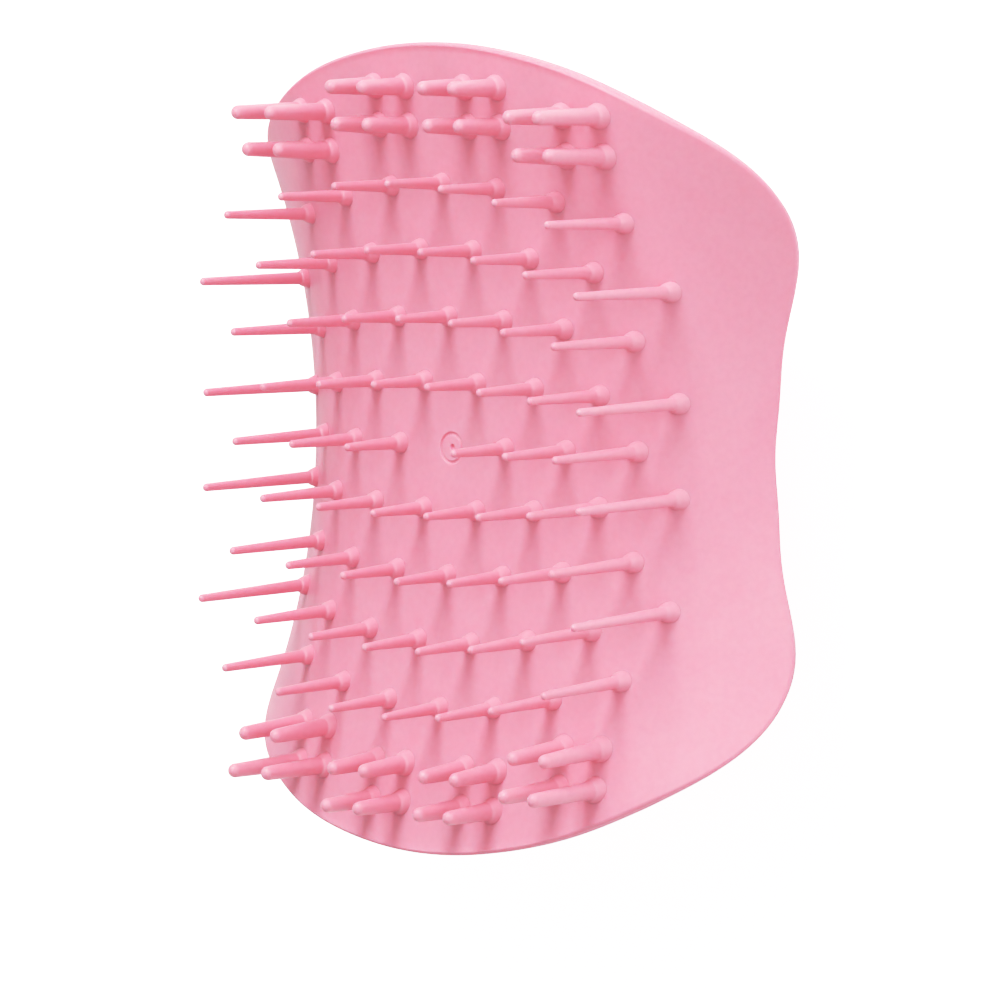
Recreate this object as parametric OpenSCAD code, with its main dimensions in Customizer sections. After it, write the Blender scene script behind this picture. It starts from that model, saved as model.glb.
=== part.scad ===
// Palm-held scalp massager brush: a saddle-shaped flexible bristle pad with 66 thin
// tines and 32 thick nubs, closed behind by a rigid domed palm shell.
// +Z runs along the bristles, +Y along the long axis, +X across the width.
// The origin is the centre of the round rest face on the back of the shell.

/* [Overall] */
// length of the brush along its long axis
brush_len = 90; // [84:0.2:96]
// width across the waist, where the long sides curve in
waist_width = 71.2; // [68:0.2:74]
// height of the pad crown (its centre) above the rest face
crown_height = 32; // [30:0.5:36]

/* [Outline] */
// squareness of the outline, which sets how far the corners bulge
corner_bulge = 4.32; // [3.8:0.02:5]
// second outline shaping term, which flattens the ends
end_flatten = 0.98; // [0.4:0.02:1.2]

/* [Pad skin] */
// drop of the skin from the crown to the edge of the waist
side_drop = 14.54; // [13:0.02:16]
// rise of the skin from the crown to the two ends
end_rise = 4; // [3:0.05:5.5]
// share of the side drop that follows a plain parabola
drop_parabola = 0.3; // [0.2:0.01:0.45]
// how fast the side drop fades away from the waist
drop_fade = 1.16; // [1:0.01:1.3]
// thickness of the pad skin
skin_thick = 2; // [1.8:0.1:2.4]
// rounding of the pad rim
rim_round = 0.5; // [0.3:0.05:0.6]

/* [Thin tines] */
// spacing of two neighbouring tines in one row
tine_pitch = 8.34; // [8:0.02:8.6]
// spacing of the rows along the brush
row_pitch = 7.36; // [7.1:0.02:7.5]
// how much closer to the middle the two inner rows on each side sit
inner_shift = 0.19; // [0:0.01:0.3]
// inward bow of a row per square of tine number, at the middle row
row_bow = 0.05; // [0:0.01:0.08]
// extra bow that each further row adds
row_bow_step = 0.098; // [0.08:0.002:0.11]
// height of the tine tips above the crown, at the middle of the brush
tine_height = 8.2; // [7:0.1:9]
// fan of the tines along the brush, for each 10 mm from the middle, in degrees
fan_angle = 0.78; // [0.5:0.01:1.2]
// fan of the bristles across the brush, for each 10 mm from the middle, in degrees
cross_fan = 0.95; // [0.5:0.05:1.2]
// lean that all bristles share towards the -Y end of the brush, in degrees
mid_lean = 1.95; // [1:0.05:3.5]
// diameter of a tine just above its root
tine_root_d = 1.4; // [1.2:0.05:1.6]
// diameter of a tine at its rounded tip
tine_tip_d = 0.9; // [0.7:0.05:1.1]
// diameter of the flare where a tine grows out of the skin
tine_flare_d = 2.4; // [2:0.05:2.6]

/* [Thick nubs] */
// spacing of the two nubs of one pair across the brush
nub_pair = 4.87; // [4.6:0.02:5.2]
// spacing of the two nub rows along the brush
nub_row = 4.1; // [3.9:0.02:4.4]
// outward lean of the inner nub row, in degrees
nub_lean_in = 3; // [1:0.1:5]
// outward lean of the outer nub row, in degrees
nub_lean_out = 1.05; // [0:0.05:3]
// diameter of a nub just above its root
nub_root_d = 2; // [1.9:0.05:2.3]
// diameter of a nub at its rounded tip
nub_tip_d = 1.6; // [1.4:0.05:1.9]
// diameter of the flare where a nub grows out of the skin
nub_flare_d = 3; // [2.7:0.05:3.2]

/* [Palm shell] */
// wall of the palm shell
shell_wall = 1.8; // [1.5:0.1:2]
// diameter of the round rest face on the back
rest_d = 17; // [14:0.5:18]
// diameter of the four locating pegs
peg_d = 3.6; // [3:0.1:3.6]
// clearance between the pad and the shell, all round
fit_gap = 0.12; // [0.1:0.01:0.2]

/* [Gate mark] */
// diameter of the ring left by the injection gate at the middle of the pad
gate_d = 3.6; // [3:0.1:4.5]

/* [Hidden] */
half_width = waist_width / 2;
half_len = brush_len / 2;

// The outline radius is a cosine series of the angle a. These are its terms from cos(4a)
// to cos(16a); the first two terms then fit the half width and the half length.
high_terms = [-corner_bulge, -end_flatten, 0.64, 0.6, 0.05, -0.2, -0.09];
mean_term = (half_width + half_len) / 2 - high_terms * [1, 0, 1, 0, 1, 0, 1];
oval_term = (half_width - half_len) / 2 - high_terms * [0, 1, 0, 1, 0, 1, 0];
outline_terms = concat([mean_term, oval_term], high_terms);

// second fading term, which keeps the corners from rising too far
drop_fade4 = -0.55;
// share of the end rise that follows a plain parabola
rise_parabola = 0.88;
// what the two corner cuts of the rim section take off, for its 45 degree points
rim_cut = 0.29 * rim_round;

// bristle roots
root_gap = 0.25;      // gap across a root, where the bending joint sits
stub_rise = 0.35;     // height of a stub above the skin on its high side
stub_sink = 0.2;      // depth of a stub below the skin on its low side
stub_extra_r = 0.02;  // how much wider in radius a stub top is than its bristle
tine_end_r = 1.5;     // radius of the domed lower end of a tine
nub_end_r = 2.5;      // radius of the domed lower end of a nub

// bristle tips: their height grows with the squares of x / tip_ref_x and y / tip_ref_y
tip_ref_x = 22.2;
tip_ref_y = 33.3;
tine_rise_x = 1.12;
tine_rise_y = 2.99;
tine_rise_xy = -0.41; // for the product of the two squares
// inner and outer nub row: [tip height above the crown, growth across the brush]
nub_tips = [[9.35, 0.3], [10.15, 1.07]];
nub_leans = [nub_lean_in, nub_lean_out];
// inner and outer nub pair: [x, y] of the middle of its four nubs
nub_pairs = [[7.14, 37.9], [21.07, 34.9]];
nub_columns = [-4, -3, -2, -1, 1, 2, 3, 4];

// pegs, and the sockets of the pad that take them
peg_x = 10;
peg_y = 12;
peg_spots = [for (x = [-peg_x, peg_x], y = [-peg_y, peg_y]) [x, y]];
peg_top_drop = 1.3;   // from the underside of the pad to the peg top
peg_base_lift = 0.08; // of the peg base above the outside of the dome
boss_d = 7;
boss_len = 7;
boss_overlap = 0.8;   // how far a boss runs into the skin
socket_floor = 0.6;   // from the underside of the pad to the socket end

// gate mark
gate_ring_width = 0.35;
gate_ring_depth = 0.2;
gate_pit_d = 0.6;
gate_pit_depth = 0.4;

// palm shell
shell_inset = 0.3;    // of the shell edge from the edge of the pad underside
shell_edge = 0.6;     // height of the edge
dome_apex_z = -1.5;   // where the unbroken curve of the dome would reach on the axis
dome_cut_z = 0.25;    // height of the flat that cuts it off
rest_h = 1.2;

// overrun of the cutting shapes
overrun = 1;

// mesh density of the skin and shell surfaces
seg = 84;
rings = 11;
angles = [for (i = [0:seg - 1]) i * 360 / seg];
$fn = 48;

// ---- points and faces ----
function polar(angle, r) = [r * cos(angle), r * sin(angle)];
function at_z(point, z) = [point.x, point.y, z];

// faces of a closed skin: a centre point, stacked loops of n points, another centre point
function loop_point(n, loop, i) = 1 + loop * n + i % n;
function loop_faces(n, loops) = concat(
    [for (i = [0:n - 1]) [0, loop_point(n, 0, i), loop_point(n, 0, i + 1)]],
    [for (j = [0:loops - 2], i = [0:n - 1])
        [loop_point(n, j, i), loop_point(n, j + 1, i), loop_point(n, j + 1, i + 1)]],
    [for (j = [0:loops - 2], i = [0:n - 1])
        [loop_point(n, j, i), loop_point(n, j + 1, i + 1), loop_point(n, j, i + 1)]],
    [for (i = [0:n - 1])
        [1 + loops * n, loop_point(n, loops - 1, i + 1), loop_point(n, loops - 1, i)]]);

// ---- pad surfaces ----
function outline_r(angle) = outline_terms * [for (k = [0:8]) cos(2 * k * angle)];

// mix of a parabola and a fourth power, and its derivative
function mix(share, v) = share * v * v + (1 - share) * pow(v, 4);
function mix_slope(share, v) = 2 * share * v + 4 * (1 - share) * pow(v, 3);
function fade(y) = 1 - drop_fade * y * y - drop_fade4 * pow(y, 4);
function fade_slope(y) = -2 * drop_fade * y - 4 * drop_fade4 * pow(y, 3);

// height of the pad skin above the rest face, and its gradient
function skin_z(point) =
    let (x = point.x / half_width, y = point.y / half_len)
    crown_height + end_rise * mix(rise_parabola, y) - side_drop * mix(drop_parabola, x) * fade(y);
function gradient(point) =
    let (x = point.x / half_width, y = point.y / half_len)
    [-side_drop * mix_slope(drop_parabola, x) * fade(y) / half_width,
     (end_rise * mix_slope(rise_parabola, y)
        - side_drop * mix(drop_parabola, x) * fade_slope(y)) / half_len];
function slope(point) = norm(gradient(point));
function under_z(point) = skin_z(point) - skin_thick * sqrt(1 + pow(slope(point), 2));

// fall of the skin towards the rim, seen along the radius
function rim_fall(angle) =
    max(0, -(gradient(polar(angle, outline_r(angle))) * polar(angle, 1)));
// a point of the rim section: inwards along the skin and down into it
function rim_point(angle, inward, down) =
    let (r = outline_r(angle), fall = rim_fall(angle), scale = sqrt(1 + fall * fall))
    at_z(polar(angle, r - (inward + fall * down) / scale),
        skin_z(polar(angle, r)) + (fall * inward - down) / scale);
// radius where the top and the underside of the pad end
function top_r(angle) = outline_r(angle) - rim_round / sqrt(1 + pow(rim_fall(angle), 2));
function under_r(angle) =
    let (fall = rim_fall(angle))
    outline_r(angle) - (rim_round + fall * skin_thick) / sqrt(1 + fall * fall);

// ---- shell surfaces: share is the part of the way from the axis to the edge ----
function shell_r(angle) = under_r(angle) - shell_inset;
function shell_top(angle) = under_z(polar(angle, shell_r(angle))) - fit_gap;
function dome_rise(angle) = shell_top(angle) - shell_edge - dome_apex_z;
function flat_share(angle) = sqrt((dome_cut_z - dome_apex_z) / dome_rise(angle));
function dome_z(angle, share) = max(dome_apex_z + dome_rise(angle) * share * share, dome_cut_z);
function dome_z_at(point) =
    let (angle = atan2(point.y, point.x))
    dome_z(angle, norm(point) / shell_r(angle));
function shell_in_z(angle, share) =
    let (r = shell_r(angle), dome_slope = 2 * dome_rise(angle) * share / r)
    min(dome_z(angle, share) + shell_wall * sqrt(1 + pow(dome_slope, 2)),
        under_z(polar(angle, share * r)) - fit_gap);

// underside of the pad over the pegs
boss_root_z = under_z([peg_x, peg_y]);
// the pegs start inside the wall: above the outside of the dome all round their rim
peg_base_z = peg_base_lift
    + max([for (a = [0:10:350]) dome_z_at([peg_x, peg_y] + polar(a, peg_d / 2))]);

// ---- bristle layout: each bristle is [tip point, run] ----
// The run is the sideways travel along X and Y for each mm of height.

// tine columns are numbered from -7 to 7 in half pitches, and rows from -4 to 4
function tine_rows(column) =
    column == 0 ? [-4, -2, 2, 4]
    : column % 2 == 0 ? [-4, -2, 0, 2, 4]
    : [-3, -1, 1, 3];
// distance of a tine from the middle along Y, for the row numbers 0 to 4
function tine_y(row, column) =
    row == 0 ? 0
    : row_pitch * row - (row < 3 ? inner_shift : 0)
        - (row_bow + row_bow_step * row) * column * column / 4;
function tine_tip_z(x, y) =
    let (xx = pow(x / tip_ref_x, 2), yy = pow(y / tip_ref_y, 2))
    crown_height + tine_height + tine_rise_x * xx + tine_rise_y * yy + tine_rise_xy * xx * yy;
function tines(column) = [
    for (row = tine_rows(column))
        let (x = column * tine_pitch / 2, y = sign(row) * tine_y(abs(row), column))
        [[x, y, tine_tip_z(x, y)],
         [x / 10 * tan(cross_fan), y / 10 * tan(fan_angle) - tan(mid_lean)]]];

// nub columns 1 and 2 are the inner pair, 3 and 4 the outer pair; negative ones lie at -X
function nubs(column) =
    let (
        number = abs(column),
        pair = number < 3 ? 0 : 1,
        x = sign(column) * (nub_pairs[pair].x + (number - 1.5 - 2 * pair) * nub_pair))
    [for (side = [-1, 1], row = [0, 1])
        [[x, side * (nub_pairs[pair].y + (row - 0.5) * nub_row),
            crown_height + nub_tips[row][0] + nub_tips[row][1] * pow(x / tip_ref_x, 2)],
         [x / 10 * tan(cross_fan), side * tan(nub_leans[row]) - tan(mid_lean)]]];

// where a bristle meets the skin, approached in steps from a first point
function root_from(tip, run, point, steps) =
    steps == 0 ? at_z(point, skin_z(point))
    : let (height = tip.z - skin_z(point))
        root_from(tip, run, [tip.x - run.x * height, tip.y - run.y * height], steps - 1);
function root(tip, run) = root_from(tip, run, tip, 3);
// height of the stub that stands on the skin below the bending joint
function stub_top(point, flare_d) = stub_rise + slope(point) * flare_d / 2;

// ---- bristles ----
// turns the +Z axis into the direction [run.x, run.y, 1]
module along(run) {
    rotate([-atan(run.y), 0, 0])
        rotate([0, atan(run.x * cos(atan(run.y))), 0])
            children();
}

// the flared stub that the pad carries under a bristle
module stub(tip, run, root_d, flare_d) {
    base = root(tip, run);
    bottom = -stub_sink - slope(base) * flare_d / 2;
    top = stub_top(base, flare_d);
    top_radius = root_d / 2 + stub_extra_r;
    flare = flare_d / 2 - top_radius;
    steps = 6;
    translate(base)
        along(run)
            rotate_extrude()
                polygon(concat(
                    [[0, top], [0, bottom]],
                    [for (k = [0:steps])
                        [top_radius + flare * pow(1 - k / steps, 2),
                         bottom + (top - bottom) * k / steps]]));
}

// one bristle from just above its stub to its rounded tip
module bristle(tip, run, root_d, tip_d, flare_d, end_r) {
    base = root(tip, run);
    start = stub_top(base, flare_d) + root_gap;
    length = (tip.z - base.z) * norm([run.x, run.y, 1]) - start;
    tip_r = tip_d / 2;
    end_angle = asin(root_d / 2 / end_r);
    translate(base)
        along(run)
            translate([0, 0, start])
                rotate_extrude()
                    polygon(concat(
                        [for (k = [0:3])
                            [end_r * sin(end_angle * k / 3), end_r * (1 - cos(end_angle * k / 3))]],
                        [for (k = [0:5])
                            [tip_r * cos(18 * k), length - tip_r + tip_r * sin(18 * k)]]));
}

module tine_column(column) {
    color([0.93, 0.62, 0.7])
        for (b = tines(column))
            bristle(b[0], b[1], tine_root_d, tine_tip_d, tine_flare_d, tine_end_r);
}

module nub_column(column) {
    color([0.91, 0.58, 0.67])
        for (b = nubs(column))
            bristle(b[0], b[1], nub_root_d, nub_tip_d, nub_flare_d, nub_end_r);
}

// ---- pad ----
module pad_skin() {
    // the loops run out over the top, down the rim and back in along the underside
    polyhedron(
        points = concat(
            [[0, 0, skin_z([0, 0])]],
            [for (j = [1:rings], a = angles)
                let (point = polar(a, top_r(a) * j / rings))
                at_z(point, skin_z(point))],
            [for (a = angles) rim_point(a, rim_cut, rim_cut)],
            [for (a = angles) rim_point(a, 0, rim_round)],
            [for (a = angles) rim_point(a, 0, skin_thick - rim_round)],
            [for (a = angles) rim_point(a, rim_cut, skin_thick - rim_cut)],
            [for (j = [0:rings - 1], a = angles)
                let (point = polar(a, under_r(a) * (1 - j / rings)))
                at_z(point, under_z(point))],
            [[0, 0, under_z([0, 0])]]),
        // turned over, as these loops start at the top
        faces = [for (f = loop_faces(seg, 2 * rings + 4)) [f[0], f[2], f[1]]],
        convexity = 6);
}

module bristle_pad() {
    color([0.9, 0.56, 0.66])
        difference() {
            union() {
                pad_skin();
                for (column = [-7:7], b = tines(column))
                    stub(b[0], b[1], tine_root_d, tine_flare_d);
                for (column = nub_columns, b = nubs(column))
                    stub(b[0], b[1], nub_root_d, nub_flare_d);
                // bosses round the peg sockets
                for (spot = peg_spots)
                    translate(at_z(spot, boss_root_z - boss_len))
                        cylinder(d = boss_d, h = boss_len + boss_overlap);
            }
            // peg sockets
            for (spot = peg_spots)
                translate(at_z(spot, boss_root_z - boss_len - overrun))
                    cylinder(d = peg_d + 2 * fit_gap, h = boss_len - socket_floor + overrun);
            // gate mark: a shallow ring with a small pit at its centre
            translate([0, 0, crown_height - gate_ring_depth])
                difference() {
                    cylinder(d = gate_d, h = overrun);
                    translate([0, 0, -overrun])
                        cylinder(d = gate_d - 2 * gate_ring_width, h = 3 * overrun);
                }
            translate([0, 0, crown_height - gate_pit_depth])
                cylinder(d = gate_pit_d, h = overrun);
        }
}

// ---- palm shell ----
module shell_bowl() {
    // the loops run out over the outside of the dome and back in along the inside
    polyhedron(
        points = concat(
            [[0, 0, dome_cut_z]],
            [for (j = [0:rings], a = angles)
                let (flat = flat_share(a), share = flat + (1 - flat) * j / rings)
                at_z(polar(a, share * shell_r(a)), dome_z(a, share))],
            [for (j = [0:2 * rings - 1], a = angles)
                let (share = 1 - j / (2 * rings))
                at_z(polar(a, share * shell_r(a)), shell_in_z(a, share))],
            [[0, 0, shell_in_z(0, 0)]]),
        faces = loop_faces(seg, 3 * rings + 1),
        convexity = 6);
}

module palm_shell() {
    color([0.86, 0.5, 0.6])
        union() {
            shell_bowl();
            // round rest face
            cylinder(d = rest_d, h = rest_h);
            // locating pegs
            for (spot = peg_spots)
                translate(at_z(spot, peg_base_z))
                    cylinder(d = peg_d, h = boss_root_z - peg_top_drop - peg_base_z);
        }
}

// ---- one module for each column: a lies at -X, b at +X ----
module tines_a7() tine_column(-7);
module tines_a6() tine_column(-6);
module tines_a5() tine_column(-5);
module tines_a4() tine_column(-4);
module tines_a3() tine_column(-3);
module tines_a2() tine_column(-2);
module tines_a1() tine_column(-1);
module tines_mid() tine_column(0);
module tines_b1() tine_column(1);
module tines_b2() tine_column(2);
module tines_b3() tine_column(3);
module tines_b4() tine_column(4);
module tines_b5() tine_column(5);
module tines_b6() tine_column(6);
module tines_b7() tine_column(7);
module nubs_a4() nub_column(-4);
module nubs_a3() nub_column(-3);
module nubs_a2() nub_column(-2);
module nubs_a1() nub_column(-1);
module nubs_b1() nub_column(1);
module nubs_b2() nub_column(2);
module nubs_b3() nub_column(3);
module nubs_b4() nub_column(4);

palm_shell();
bristle_pad();
tines_a7();
tines_a6();
tines_a5();
tines_a4();
tines_a3();
tines_a2();
tines_a1();
tines_mid();
tines_b1();
tines_b2();
tines_b3();
tines_b4();
tines_b5();
tines_b6();
tines_b7();
nubs_a4();
nubs_a3();
nubs_a2();
nubs_a1();
nubs_b1();
nubs_b2();
nubs_b3();
nubs_b4();
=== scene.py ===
"""A hand-held rubber brush: an oval pad with columns of soft bristles on a bowl-shaped palm shell.

The brush lies on the floor with its length along Y, its width along X and its bristles up (+Z).
The shell rests on z = 0. Shapes are worked out in mm and become metres when a mesh is made.
"""

import math
from collections import namedtuple

import bpy
import numpy as np
from mathutils import Matrix, Vector


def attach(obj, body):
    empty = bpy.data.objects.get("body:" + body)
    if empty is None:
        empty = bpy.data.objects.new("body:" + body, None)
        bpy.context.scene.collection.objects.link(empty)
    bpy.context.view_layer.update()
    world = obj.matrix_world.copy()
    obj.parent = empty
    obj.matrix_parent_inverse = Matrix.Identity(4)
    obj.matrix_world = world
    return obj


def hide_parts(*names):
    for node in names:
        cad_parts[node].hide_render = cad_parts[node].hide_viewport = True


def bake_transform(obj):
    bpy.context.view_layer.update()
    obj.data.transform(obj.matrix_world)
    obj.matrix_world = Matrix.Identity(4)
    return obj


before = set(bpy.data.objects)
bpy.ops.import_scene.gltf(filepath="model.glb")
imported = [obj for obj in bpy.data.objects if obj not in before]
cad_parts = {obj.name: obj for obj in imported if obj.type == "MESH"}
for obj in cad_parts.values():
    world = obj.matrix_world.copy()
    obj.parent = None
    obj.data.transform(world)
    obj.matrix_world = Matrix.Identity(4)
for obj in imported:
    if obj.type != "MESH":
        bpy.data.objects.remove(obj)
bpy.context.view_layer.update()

MM = 0.001

# ---------------------------------------------------------------- sizes of the brush, in mm
HALF_X, HALF_Y = 35.6, 45.0  # half the width and half the length of the outline

# Outline radius as a cosine series: {waves round the outline: height of the wave}.
# The mean radius and the second wave make it meet HALF_X and HALF_Y.
WAVES = {4: -4.32, 6: -0.98, 8: 0.64, 10: 0.6, 12: 0.05, 14: -0.2, 16: -0.09}
MEAN_RADIUS = (HALF_X + HALF_Y) / 2 - WAVES[4] - WAVES[8] - WAVES[12] - WAVES[16]
WAVES = {2: (HALF_X - HALF_Y) / 2 - WAVES[6] - WAVES[10] - WAVES[14], **WAVES}

CROWN = 32.0  # height of the pad's top at its centre
END_RISE, RISE_SQUARE = 4.0, 0.88  # rise at the Y ends, and the squared term's share of it
SIDE_DROP, DROP_SQUARE = 14.54, 0.3  # drop at the X sides, and the squared term's share of it
FADE_SQUARE, FADE_FOURTH = 1.16, -0.55  # how the side drop fades along Y
PAD_THICK, RIM_RADIUS = 2.0, 0.5
MARK_ZONE = 2.4  # radius of the finely meshed disc round the gate mark

GAP_ROUND, GAP_BELOW = 0.3, 0.12  # between the shell and the pad's underside
EDGE_BAND = 0.6  # upright band at the shell's edge
DOME_DIP = 1.5  # how far the dome's parabola reaches below z = 0
DOME_FLOOR = 0.25  # lowest height of the dome outside the rest face
WALL = 1.8
DOME_START = 8.9  # radius where the dome begins

PEG_X, PEG_Y, PEG_RADIUS = 10.0, 12.0, 1.8
PEG_TIP_GAP = 1.3  # from the peg's tip up to the pad's underside
PEG_PLACES = [(x, y) for x in (-PEG_X, PEG_X) for y in (-PEG_Y, PEG_Y)]
SOCKET_DEPTH, SOCKET_RADIUS = 7.0, 3.5
# (radius, height above the socket's mouth): up the axis of the bore, out, and back up outside
SOCKET_PROFILE = [
    (0, 6.4), (1.7, 6.4), (1.92, 6.2), (1.92, 0.35), (2.2, 0.02), (2.7, 0), (3.3, 0.02),
    (3.46, 0.1), (SOCKET_RADIUS, 0.3), (SOCKET_RADIUS, SOCKET_DEPTH + 0.2),
    (SOCKET_RADIUS, SOCKET_DEPTH + 0.8), (0, SOCKET_DEPTH + 0.8),
]

# Tines stand in staggered rows: columns are half a pitch apart
PITCH, ROW = 8.34, 7.36
INNER_ROW_SHIFT = 0.19  # rows 1 and 2 sit this much nearer the middle
ROW_BOW, ROW_BOW_STEP = 0.05, 0.098  # bow of a row toward the middle, and its growth per row
TIP_SPAN_X, TIP_SPAN_Y = 22.2, 33.3  # distances at which the tip-height terms count in full

# Nubs: four columns each side of the middle, in an inner and an outer pair
NUB_PAIR_X, NUB_STEP_X = (7.14, 21.07), 4.87
NUB_PAIR_Y, NUB_STEP_Y = (37.9, 34.9), 4.1

# Tangents of the bristles' tilts
FAN_X, FAN_Y, LEAN = (math.tan(math.radians(d)) for d in (0.95, 0.78, 1.95))
NUB_FAN_Y = [math.tan(math.radians(d)) for d in (3.0, 1.05)]  # nearer, farther nub
FAN_STEP = 10  # the fan tilts grow by their tangent over this distance

BristleShape = namedtuple("BristleShape", "root_radius tip_radius flare_radius neck")
TINE = BristleShape(root_radius=0.70, tip_radius=0.45, flare_radius=1.2, neck=1.9)
NUB = BristleShape(root_radius=1.0, tip_radius=0.8, flare_radius=1.5, neck=1.5)
# x, y and tip are the place of the tip; run is its sideways run in X and Y per mm of height
Bristle = namedtuple("Bristle", "x y tip run")


# ---------------------------------------------------------------- curves and surfaces
def step(start, end, t):
    """Smooth step from 0 at start to 1 at end."""
    t = np.clip((t - start) / (end - start), 0, 1)
    return t * t * (3 - 2 * t)


def smooth_max(a, b, width):
    h = np.clip(0.5 + 0.5 * (a - b) / width, 0, 1)
    return b * (1 - h) + a * h + width * h * (1 - h)


def swell(t, square):
    """Even curve from 0 to 1: a squared term with the given share, the rest a fourth power."""
    return square * t * t + (1 - square) * t**4


def swell_slope(t, square):
    return 2 * square * t + 4 * (1 - square) * t**3


def quarter_turn(steps):
    """Angles of a quarter circle, without its first."""
    return [k / steps * math.pi / 2 for k in range(1, steps + 1)]


def full_turn(count):
    return np.arange(count) * 2 * math.pi / count


def polar(radius, angle):
    return radius * np.cos(angle), radius * np.sin(angle)


def outline_radius(angle):
    return MEAN_RADIUS + sum(height * np.cos(m * angle) for m, height in WAVES.items())


def fade(t):
    return 1 - FADE_SQUARE * t * t - FADE_FOURTH * t**4


def skin(x, y):
    """Height of the pad's top."""
    rise = END_RISE * swell(y / HALF_Y, RISE_SQUARE)
    return CROWN + rise - SIDE_DROP * swell(x / HALF_X, DROP_SQUARE) * fade(y / HALF_Y)


def slope_x(x, y):
    return -SIDE_DROP / HALF_X * swell_slope(x / HALF_X, DROP_SQUARE) * fade(y / HALF_Y)


def slope_y(x, y):
    t = y / HALF_Y
    drop = SIDE_DROP * swell(x / HALF_X, DROP_SQUARE)
    fading = 2 * FADE_SQUARE * t + 4 * FADE_FOURTH * t**3
    return (END_RISE * swell_slope(t, RISE_SQUARE) + drop * fading) / HALF_Y


def under(x, y):
    """Height of the pad's underside."""
    slope = np.hypot(slope_x(x, y), slope_y(x, y))
    return skin(x, y) - PAD_THICK * np.sqrt(1 + slope**2)


def rim_fall(angle):
    """How steeply the skin falls outward at the outline, never below zero."""
    x, y = polar(outline_radius(angle), angle)
    return np.maximum(0, -(slope_x(x, y) * np.cos(angle) + slope_y(x, y) * np.sin(angle)))


def rim_point(angle, inset, depth):
    """Points inset along the skin from the outline, and at a depth square to the skin."""
    radius, fall = outline_radius(angle), rim_fall(angle)
    stretch = np.sqrt(1 + fall * fall)
    x, y = polar(radius - (inset + fall * depth) / stretch, angle)
    return np.stack([x, y, skin(*polar(radius, angle)) + (fall * inset - depth) / stretch], 1)


def top_radius(angle):
    return outline_radius(angle) - RIM_RADIUS / np.sqrt(1 + rim_fall(angle) ** 2)


def under_radius(angle):
    fall = rim_fall(angle)
    return outline_radius(angle) - (RIM_RADIUS + fall * PAD_THICK) / np.sqrt(1 + fall * fall)


def shell_radius(angle):
    return under_radius(angle) - GAP_ROUND


def shell_top(angle):
    return under(*polar(shell_radius(angle), angle)) - GAP_BELOW


def dome_rise(angle):
    return shell_top(angle) - EDGE_BAND + DOME_DIP


def dome(angle, t):
    """Height of the shell's outer parabola at the share t of the way to its edge."""
    return -DOME_DIP + dome_rise(angle) * t * t


# ---------------------------------------------------------------- mesh helpers
def ring(angles, radius, z):
    x, y = polar(radius, angles)
    return np.stack([x, y, z + 0 * angles], 1)


def ring_on(surface, angles, radius):
    return ring(angles, radius, surface(*polar(radius, angles)))


class MeshBuilder:
    """Collects points and faces, in mm, and makes an object of them."""

    def __init__(self):
        self.blocks, self.faces, self.count = [], [], 0

    def points(self, block):
        self.blocks.append(np.asarray(block, float).reshape(-1, 3))
        first = self.count
        self.count += len(self.blocks[-1])
        return first

    def loops(self, loops, start=None, end=None, flip=False):
        """Stacked loops of equal length, with a centre point at each end where one is given."""
        n = len(loops[0])
        firsts = [self.points(loop) for loop in loops]
        faces = []
        for a, b in zip(firsts[:-1], firsts[1:]):
            faces += [(a + k, a + (k + 1) % n, b + (k + 1) % n, b + k) for k in range(n)]
        if start is not None:
            centre, rim = self.points([start]), firsts[0]
            faces += [(centre, rim + (k + 1) % n, rim + k) for k in range(n)]
        if end is not None:
            centre, rim = self.points([end]), firsts[-1]
            faces += [(centre, rim + k, rim + (k + 1) % n) for k in range(n)]
        self.faces += [tuple(reversed(f)) for f in faces] if flip else faces

    def revolve(self, profile, x, y, segments):
        """An upright solid; profile is (radius, height) with both ends on the axis."""
        angles = full_turn(segments)
        loops = [ring(angles, radius, z) + (x, y, 0) for radius, z in profile[1:-1]]
        self.loops(loops, start=(x, y, profile[0][1]), end=(x, y, profile[-1][1]))

    def make(self, name, material):
        mesh = bpy.data.meshes.new(name)
        mesh.from_pydata((np.concatenate(self.blocks) * MM).tolist(), [], self.faces)
        mesh.validate()
        mesh.polygons.foreach_set("use_smooth", [True] * len(mesh.polygons))
        mesh.materials.append(material)
        mesh.update()
        return add_object(name, mesh)


def add_object(name, data):
    item = bpy.data.objects.new(name, data)
    bpy.context.scene.collection.objects.link(item)
    return item


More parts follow.
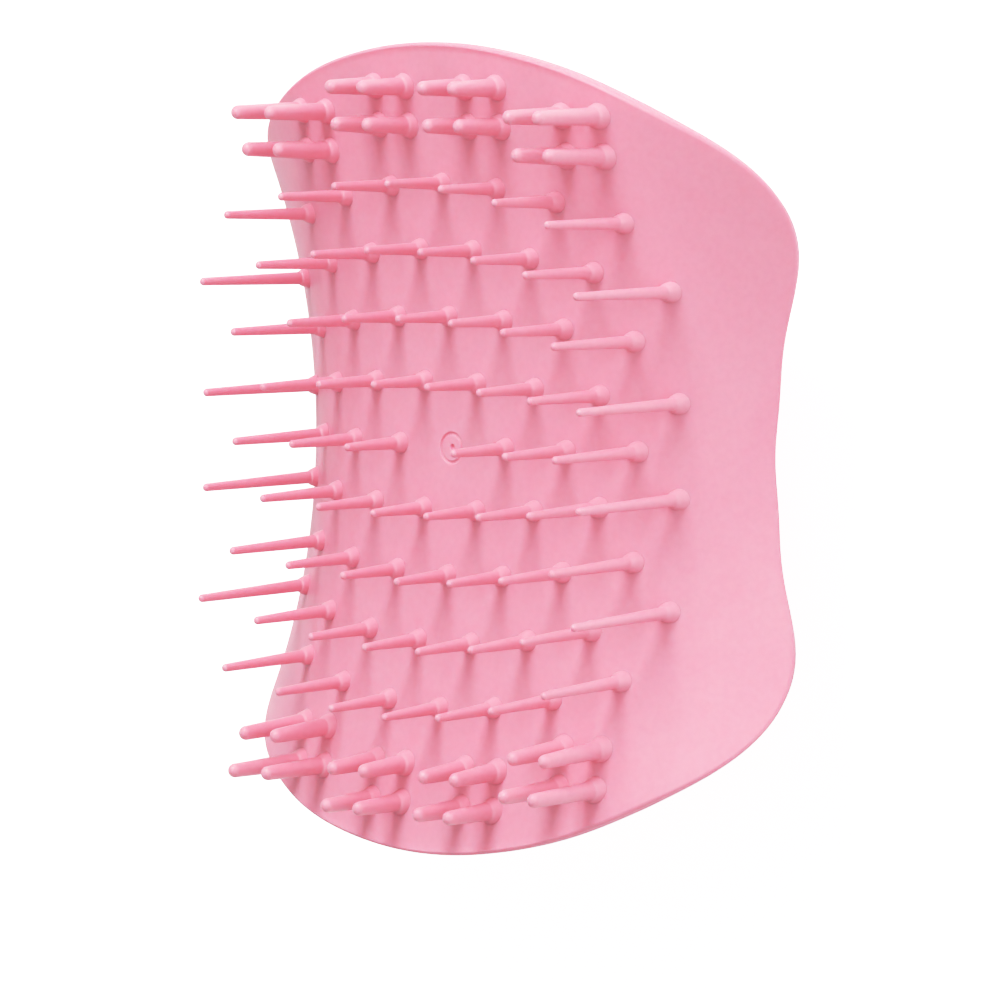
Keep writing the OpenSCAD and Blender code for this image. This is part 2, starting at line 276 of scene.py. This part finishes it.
# ---------------------------------------------------------------- shader helpers
class Shader:
    """Adds nodes to one tree. Any input takes either a value or another node's output."""

    def __init__(self, tree):
        self.tree = tree

    def feed(self, node, inputs):
        for key, value in inputs.items():
            if isinstance(value, bpy.types.NodeSocket):
                self.tree.links.new(value, node.inputs[key])
            else:
                node.inputs[key].default_value = value

    def node(self, kind, inputs=None, **settings):
        node = self.tree.nodes.new(kind)
        for key, value in settings.items():
            setattr(node, key, value)
        self.feed(node, inputs or {})
        return node

    def coordinates(self, output="Object"):
        return self.node("ShaderNodeTexCoord").outputs[output]

    def seen_by_camera(self):
        return self.node("ShaderNodeLightPath").outputs["Is Camera Ray"]

    def noise(self, vector, scale, detail, roughness=0.5, distortion=0.0):
        inputs = {"Vector": vector, "Scale": scale, "Detail": detail}
        inputs |= {"Roughness": roughness, "Distortion": distortion}
        return self.node("ShaderNodeTexNoise", inputs).outputs["Fac"]

    def remap(self, value, to, source=(0.0, 1.0)):
        inputs = {"Value": value, "From Min": source[0], "From Max": source[1]}
        inputs |= {"To Min": to[0], "To Max": to[1]}
        return self.node("ShaderNodeMapRange", inputs).outputs["Result"]

    def mix(self, factor, a, b):
        inputs = {"Factor": factor, "A": (*a, 1), "B": (*b, 1)}
        return self.node("ShaderNodeMix", inputs, data_type="RGBA").outputs["Result"]

    def bump(self, height, strength, distance, **inputs):
        inputs |= {"Height": height, "Strength": strength, "Distance": distance}
        return self.node("ShaderNodeBump", inputs).outputs["Normal"]


def new_material(name):
    """An empty material with a Principled BSDF."""
    material = bpy.data.materials.new(name)
    material.use_nodes = True
    shader = Shader(material.node_tree)
    shader.tree.nodes.clear()
    output = shader.node("ShaderNodeOutputMaterial")
    bsdf = shader.node("ShaderNodeBsdfPrincipled")
    shader.feed(output, {"Surface": bsdf.outputs["BSDF"]})
    return material, shader, bsdf


# ---------------------------------------------------------------- materials
def elastomer(name, light, deep, scatter, roughness, seed, gloss, subsurface=None):
    """Satin pink rubber: cloudy colour, a fine moulded grain and light that travels inside it.

    Without a subsurface weight, the weight follows the "lift" attribute of a bristle.
    """
    material, shader, bsdf = new_material(name)
    vector = shader.node(
        "ShaderNodeMapping",
        {"Vector": shader.coordinates(), "Location": (seed * 0.013, seed * 0.007, 0)},
    ).outputs["Vector"]
    cloud = shader.noise(vector, scale=75, detail=3, roughness=0.55, distortion=0.4)
    speck = shader.noise(vector, scale=1400, detail=2, roughness=0.6)
    grain = shader.noise(vector, scale=5200, detail=2, roughness=0.55)

    # pigment clouds and faint specks
    pigment = shader.mix(shader.remap(cloud, to=(0, 1), source=(0.3, 0.7)), light, deep)
    dots = shader.remap(speck, to=(1.015, 0.97), source=(0.35, 0.75))
    tone = shader.node("ShaderNodeVectorMath", {0: pigment, "Scale": dots}, operation="SCALE")

    # fine moulded grain over a very soft waviness
    fine = shader.bump(grain, strength=0.12, distance=0.00004)
    wave = shader.noise(vector, scale=240, detail=1, roughness=0.4)
    normal = shader.bump(wave, strength=0.25, distance=0.00008, Normal=fine)

    if subsurface is None:
        # little scattering in the collar at the root, more in the slim shaft above it
        lift = shader.node("ShaderNodeAttribute", attribute_name="lift").outputs["Fac"]
        subsurface = shader.remap(lift, to=(0.1, 0.55))
    bsdf.subsurface_method = "RANDOM_WALK"
    shader.feed(bsdf, {
        "Base Color": tone.outputs["Vector"],
        "Roughness": shader.remap(cloud, to=(roughness - 0.06, roughness + 0.07)),
        "Normal": normal,
        "Subsurface Weight": subsurface,
        "Subsurface Radius": (1.0, 0.26, 0.34),
        "Subsurface Scale": scatter,
        "Subsurface Anisotropy": 0.0,
        "IOR": 1.45,
        "Specular IOR Level": gloss,
    })
    return material


def shell_plastic():
    """Glossy moulded plastic with faint pigment flow, light scratches and a soft clear coat."""
    material, shader, bsdf = new_material("shell_plastic")
    vector = shader.coordinates()
    flow = shader.noise(vector, scale=38, detail=3, distortion=1.2)
    colour = shader.mix(flow, (0.83, 0.36, 0.48), (0.77, 0.31, 0.43))
    # scratches: a stretched fine noise, only a little rougher than the polish around it
    stretched = shader.node(
        "ShaderNodeMapping",
        {"Vector": vector, "Scale": (420, 7600, 1400), "Rotation": (0, 0, 0.5)},
    ).outputs["Vector"]
    scratch = shader.noise(stretched, scale=1.0, detail=4)
    peel = shader.noise(vector, scale=420, detail=1)
    bsdf.subsurface_method = "RANDOM_WALK"
    shader.feed(bsdf, {
        "Base Color": colour,
        "Roughness": shader.remap(scratch, to=(0.27, 0.31), source=(0.45, 0.75)),
        "Normal": shader.bump(peel, strength=0.12, distance=0.00003),
        "Subsurface Weight": 0.35,
        "Subsurface Radius": (1.0, 0.4, 0.5),
        "Subsurface Scale": 0.0008,
        "Coat Weight": 0.25,
        "Coat Roughness": 0.12,
    })
    return material


def floor_material():
    material, shader, bsdf = new_material("floor")
    mottle = shader.noise(shader.coordinates(), scale=30, detail=2)
    shader.feed(bsdf, {
        "Base Color": shader.mix(mottle, (0.93, 0.93, 0.93), (0.9, 0.9, 0.9)),
        "Roughness": 0.9,
        "Specular IOR Level": 0.1,
        "Emission Color": (1, 1, 1, 1),
        # lit to white for the camera, with only a faint glow for everything else
        "Emission Strength": shader.remap(shader.seen_by_camera(), to=(0.1, 1.2)),
    })
    return material


PAD_MATERIAL = elastomer(
    "pad_elastomer", light=(0.93, 0.37, 0.468), deep=(0.915, 0.345, 0.445),
    scatter=0.0011, roughness=0.44, seed=1, gloss=0.42, subsurface=0.55,
)
# the bristles are the same rubber as the pad; their base colours are a little lighter than the
# pad's as painted light, for bristles lit more brightly than the shaded skin between them
BRISTLE_MATERIAL = elastomer(
    "bristle_elastomer", light=(0.96, 0.39, 0.485), deep=(0.95, 0.365, 0.465),
    scatter=0.0007, roughness=0.33, seed=2, gloss=0.55,
)
SHELL_MATERIAL = shell_plastic()


# ---------------------------------------------------------------- the pad
def marked_skin(x, y):
    """The skin with its gate mark: a shallow ring round a small off-centre pit."""
    r = np.hypot(x, y)
    groove = 0.2 * step(1.38, 1.5, r) * (1 - step(1.72, 1.84, r))
    pit = 0.4 * (1 - step(0.2, 0.38, np.hypot(x - 0.12, y - 0.1)))
    return skin(x, y) - (groove + pit)


def pad_loops(angles):
    # fine rings over the gate mark, then rings that open out to the rim
    radii = [*np.arange(0.06, 0.7, 0.06), *np.arange(0.75, 1.3, 0.12)]
    radii += [*np.arange(1.34, 1.92, 0.04), 2.1, MARK_ZONE]
    reach, rings = top_radius(angles) - MARK_ZONE, 64
    radii += [MARK_ZONE + reach * (j / rings) for j in range(1, rings + 1)]
    loops = [ring_on(marked_skin, angles, radius) for radius in radii]
    # rolled rim: upper round, straight band, lower round
    for b in quarter_turn(8):
        inset, depth = RIM_RADIUS * (1 - math.sin(b)), RIM_RADIUS * (1 - math.cos(b))
        loops.append(rim_point(angles, inset, depth))
    for depth in np.linspace(RIM_RADIUS, PAD_THICK - RIM_RADIUS, 4)[1:]:
        loops.append(rim_point(angles, 0, depth))
    for b in quarter_turn(8)[:-1]:
        inset, rise = RIM_RADIUS * (1 - math.cos(b)), RIM_RADIUS * (1 - math.sin(b))
        loops.append(rim_point(angles, inset, PAD_THICK - rise))
    # underside
    edge, rings = under_radius(angles), 40
    loops += [ring_on(under, angles, edge * (1 - j / rings)) for j in range(rings)]
    return loops


def make_pad():
    builder = MeshBuilder()
    start, end = (0, 0, marked_skin(0.0, 0.0)), (0, 0, under(0, 0))
    builder.loops(pad_loops(full_turn(540)), start, end, flip=True)
    # sockets under the skin for the pegs of the shell
    mouth = float(under(PEG_X, PEG_Y)) - SOCKET_DEPTH
    profile = [(radius, mouth + height) for radius, height in SOCKET_PROFILE]
    for x, y in PEG_PLACES:
        builder.revolve(profile, x, y, segments=48)
    pad = builder.make("pad", PAD_MATERIAL)
    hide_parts("bristle_pad")
    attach(pad, "brush")


# ---------------------------------------------------------------- the palm shell
def shell_loops(angles):
    edge, top = shell_radius(angles), shell_top(angles)
    # rest face with a small rounded step up to the dome
    rest = [(r, 0.0) for r in (2.0, 4.0, 6.0, 7.6, 8.1)]
    rest += [(8.34 + 0.16 * math.sin(b), 0.16 * (1 - math.cos(b))) for b in quarter_turn(5)]
    rest += [(8.52, 0.21), (8.62, 0.245)]
    loops = [ring(angles, radius, z) for radius, z in rest]
    # outside of the dome
    first, rings = DOME_START / edge, 56
    for j in range(rings + 1):
        t = first + (1 - first) * j / rings
        if j == 0:
            z = DOME_FLOOR
        elif j == rings:
            z = top - EDGE_BAND
        else:
            z = np.maximum(smooth_max(dome(angles, t), DOME_FLOOR, 0.5), DOME_FLOOR)
        loops.append(ring(angles, edge * t, z))
    # upright band and its rounded edge
    loops.append(ring(angles, edge, top - 0.22))
    loops.append(ring(angles, edge - 0.05, top - 0.1))
    lip = edge - 0.16
    loops.append(ring(angles, lip, under(*polar(lip, angles)) - GAP_BELOW - 0.01))
    # inside of the bowl
    rings = 34
    for j in range(rings):
        t = (1 - 0.3 / rings) * (1 - j / rings)
        radius = t * edge
        wall = WALL * np.sqrt(1 + (2 * dome_rise(angles) * t / edge) ** 2)
        inside = np.maximum(dome(angles, t), DOME_FLOOR) + wall
        ceiling = under(*polar(radius, angles)) - GAP_BELOW
        loops.append(ring(angles, radius, np.minimum(inside, ceiling)))
    return loops


def peg_profile():
    """A peg that starts inside the wall, above the dome's outside all round its rim."""
    turn = np.linspace(0, 2 * math.pi, 73)
    x, y = PEG_X + PEG_RADIUS * np.cos(turn), PEG_Y + PEG_RADIUS * np.sin(turn)
    angle = np.arctan2(y, x)
    foot = float(np.max(dome(angle, np.hypot(x, y) / shell_radius(angle)))) + 0.08
    tip = float(under(PEG_X, PEG_Y)) - PEG_TIP_GAP
    return [
        (0, foot), (PEG_RADIUS - 0.06, foot), (PEG_RADIUS, foot + 0.06),
        (PEG_RADIUS, tip - 0.5), (1.66, tip - 0.18), (1.4, tip), (0, tip),
    ]


def make_shell():
    builder = MeshBuilder()
    builder.loops(shell_loops(full_turn(360)), start=(0, 0, 0), end=(0, 0, DOME_FLOOR + WALL))
    profile = peg_profile()
    for x, y in PEG_PLACES:
        builder.revolve(profile, x, y, segments=40)
    shell = builder.make("palm_shell_body", SHELL_MATERIAL)
    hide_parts("palm_shell")
    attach(shell, "brush")


# ---------------------------------------------------------------- bristle layout
def tine(column, row):
    x, r = column * PITCH / 2, abs(row)
    y = 0.0
    if row:
        y = ROW * r - (INNER_ROW_SHIFT if r < 3 else 0)
        y -= (ROW_BOW + ROW_BOW_STEP * r) * column * column / 4
        y = math.copysign(y, row)
    u, v = x / TIP_SPAN_X, y / TIP_SPAN_Y
    tip = CROWN + 8.2 + 1.12 * u * u + 2.99 * v * v - 0.41 * u * u * v * v
    return Bristle(x, y, tip, (x / FAN_STEP * FAN_X, y / FAN_STEP * FAN_Y - LEAN))


def nub(column, end, k):
    """A nub at the Y end -1 or 1; k is 0 for the one nearer the middle, 1 for the farther."""
    outer = int(abs(column) > 2)
    offset = abs(column) - (3.5 if outer else 1.5)
    x = math.copysign(NUB_PAIR_X[outer] + offset * NUB_STEP_X, column)
    y = end * (NUB_PAIR_Y[outer] + (k - 0.5) * NUB_STEP_Y)
    u = x / TIP_SPAN_X
    tip = CROWN + (9.35 + 0.3 * u * u if k == 0 else 10.15 + 1.07 * u * u)
    return Bristle(x, y, tip, (x / FAN_STEP * FAN_X, math.copysign(NUB_FAN_Y[k], y) - LEAN))


def column_name(kind, column):
    """Columns count outward from the middle: a on the -X side, b on the +X side."""
    return "%s_%s%d" % (kind, "a" if column < 0 else "b", abs(column))


# ---------------------------------------------------------------- the bristles
def bristle_rings(shape, length):
    """(radius, height along the axis, share of the skin's own tilt) up to the rounded tip."""
    root_radius, tip_radius, flare, neck = shape
    rings = [(flare * 0.94, -0.45, 1.0), (flare, -0.2, 1.0)]
    # a rounded shoulder that stands on the skin and eases into the shaft
    for k in range(17):
        t = k / 16
        shoulder = math.sqrt(max(0.0, 1 - (t / 0.62) ** 2)) if t < 0.62 else 0.0
        share = 0.55 * shoulder + 0.45 * (1 - t) ** 2.2
        radius = root_radius + (flare - root_radius) * share
        rings.append((radius, neck * t, float(1 - step(0.15, 1.0, t))))
    # tapered shaft
    straight, steps = length - tip_radius - neck, 12
    for k in range(1, steps + 1):
        radius = root_radius + (tip_radius - root_radius) * k / steps
        rings.append((radius, neck + straight * k / steps, 0.0))
    for b in quarter_turn(8)[:-1]:
        height = length - tip_radius + tip_radius * math.sin(b)
        rings.append((tip_radius * math.cos(b), height, 0.0))
    return rings


def unit(vector):
    vector = np.asarray(vector, float)
    return vector / np.linalg.norm(vector)


def find_root(bristle):
    """Where the bristle's axis meets the skin, found by repeated approach from the tip."""
    x, y = bristle.x, bristle.y
    for _ in range(3):
        height = bristle.tip - skin(x, y)
        x, y = bristle.x - bristle.run[0] * height, bristle.y - bristle.run[1] * height
    return np.array([x, y, skin(x, y)])


def add_bristle(builder, shape, bristle, root, turn):
    """Adds one bristle and returns the height of each of its points along the axis."""
    run_x, run_y = bristle.run
    up = unit([run_x, run_y, 1])
    out = unit([-slope_x(root[0], root[1]), -slope_y(root[0], root[1]), 1])
    length = (bristle.tip - root[2]) * math.sqrt(1 + run_x**2 + run_y**2)
    segments, sunk = 32, 0.5
    angles = full_turn(segments) + turn
    loops, heights = [], []
    for radius, height, tilt in bristle_rings(shape, length):
        axis = unit(tilt * out + (1 - tilt) * up)
        side = unit(np.cross([0, 1, 0], axis))
        other = np.cross(axis, side)
        # below the skin a ring sinks along the skin's normal, above it rises along the bristle
        centre = root + height * (out if height < 0 else up)
        circle = np.cos(angles)[:, None] * side + np.sin(angles)[:, None] * other
        loops.append(centre + radius * circle)
        heights += [height] * segments
    builder.loops(loops, start=root - sunk * out, end=root + length * up)
    return heights + [-sunk, length]


def make_column(name, shape, bristles):
    builder = MeshBuilder()
    roots = [find_root(bristle) for bristle in bristles]
    heights = []
    for j, (bristle, root) in enumerate(zip(bristles, roots)):
        heights += add_bristle(builder, shape, bristle, root, turn=0.3 * j)
    column = builder.make(name + "_soft", BRISTLE_MATERIAL)
    lift = column.data.attributes.new("lift", "FLOAT", "POINT")
    lift.data.foreach_set("value", step(0.9, 2.6, np.array(heights)).astype(np.float32))
    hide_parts(name)
    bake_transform(column)


def make_bristles():
    for column in range(-7, 8):
        rows = (-3, -1, 1, 3) if column % 2 else (-4, -2, 0, 2, 4)
        # the middle column leaves the centre free for the gate mark
        tines = [tine(column, row) for row in rows if column or row]
        make_column(column_name("tines", column) if column else "tines_mid", TINE, tines)
    for column in (-4, -3, -2, -1, 1, 2, 3, 4):
        nubs = [nub(column, end, k) for end in (-1, 1) for k in (0, 1)]
        make_column(column_name("nubs", column), NUB, nubs)


# ---------------------------------------------------------------- stage, light and camera
def make_floor():
    builder = MeshBuilder()
    angles = full_turn(96)
    loops = [ring(angles, radius, 0) for radius in (60, 150, 400, 1200, 4000)]
    builder.loops(loops, start=(0, 0, 0))
    builder.make("floor", floor_material())


def area_light(name, toward, distance, size, power):
    """A square light in the direction toward, aimed at a point 30 mm above the floor."""
    direction = Vector(toward).normalized()
    light = bpy.data.lights.new(name, "AREA")
    light.shape = "RECTANGLE"
    light.size = light.size_y = size
    light.energy = power
    lamp = add_object(name, light)
    lamp.location = Vector((0, 0, 0.03)) + direction * distance
    lamp.rotation_mode = "QUATERNION"
    lamp.rotation_quaternion = (-direction).to_track_quat("-Z", "Y")


def make_world():
    """Soft studio light, stronger from one side; the camera sees the backdrop as white."""
    world = bpy.data.worlds.new("studio")
    world.use_nodes = True
    shader = Shader(world.node_tree)
    bright_side = Vector((0.4, 0.75, 0.5)).normalized()
    facing = shader.node(
        "ShaderNodeVectorMath",
        {0: shader.coordinates("Generated"), 1: bright_side},
        operation="DOT_PRODUCT",
    ).outputs["Value"]
    soft = shader.remap(facing, to=(0.14, 0.84), source=(-1.0, 1.0))
    strength = shader.remap(shader.seen_by_camera(), to=(soft, 1.7))
    background = world.node_tree.nodes["Background"]
    shader.feed(background, {"Color": (1, 1, 1, 1), "Strength": strength})
    bpy.context.scene.world = world


def set_tone_curve():
    """A little contrast in the low tones and a soft highlight shoulder."""
    view = bpy.context.scene.view_settings
    view.view_transform = "Standard"
    view.look = "None"
    view.use_curve_mapping = True
    white = 1.7  # scene value at the curve's right end
    # (scene value, shown value) between the two ends
    tones = [
        (0.12, 0.1), (0.25, 0.226), (0.38, 0.38), (0.55, 0.567),
        (0.77, 0.735), (1.03, 0.86), (1.3, 0.95),
    ]
    mapping = view.curve_mapping
    mapping.white_level = (white, white, white)
    combined = mapping.curves[3]
    combined.points[0].location = (0, 0)
    combined.points[1].location = (1, 1)
    for scene_value, shown in tones:
        combined.points.new(scene_value / white, shown)
    mapping.update()


def make_camera():
    turn_x, turn_y, turn_z = (math.radians(d) for d in (3.428, -44.5, -0.378))
    to_view = (
        Matrix.Rotation(turn_z, 3, "Z")
        @ Matrix.Rotation(turn_x, 3, "X")
        @ Matrix.Rotation(turn_y, 3, "Y")
    )
    to_world = to_view.transposed()
    pivot = Vector((0, 0, CROWN * MM))
    # from the pivot, in the camera's own axes, in metres
    offset = Vector((0.005384943, -0.005764341, 0.905649))
    view_span = 0.111  # metres covered by the sensor's width at the pivot's distance
    camera = bpy.data.cameras.new("camera")
    camera.sensor_width = 36
    camera.lens = 36 * 0.905649 / view_span
    camera.clip_start, camera.clip_end = 0.05, 50
    item = add_object("camera", camera)
    item.matrix_world = Matrix.Translation(pivot + to_world @ offset) @ to_world.to_4x4()
    bpy.context.scene.camera = item


make_pad()
make_shell()
make_bristles()
make_floor()
area_light("key", toward=(0.08, 0.72, 0.68), distance=1.2, size=0.5, power=10.4)
area_light("fill", toward=(6, 1.5, 4), distance=1.3, size=0.9, power=2.9)
make_world()
set_tone_curve()
make_camera()
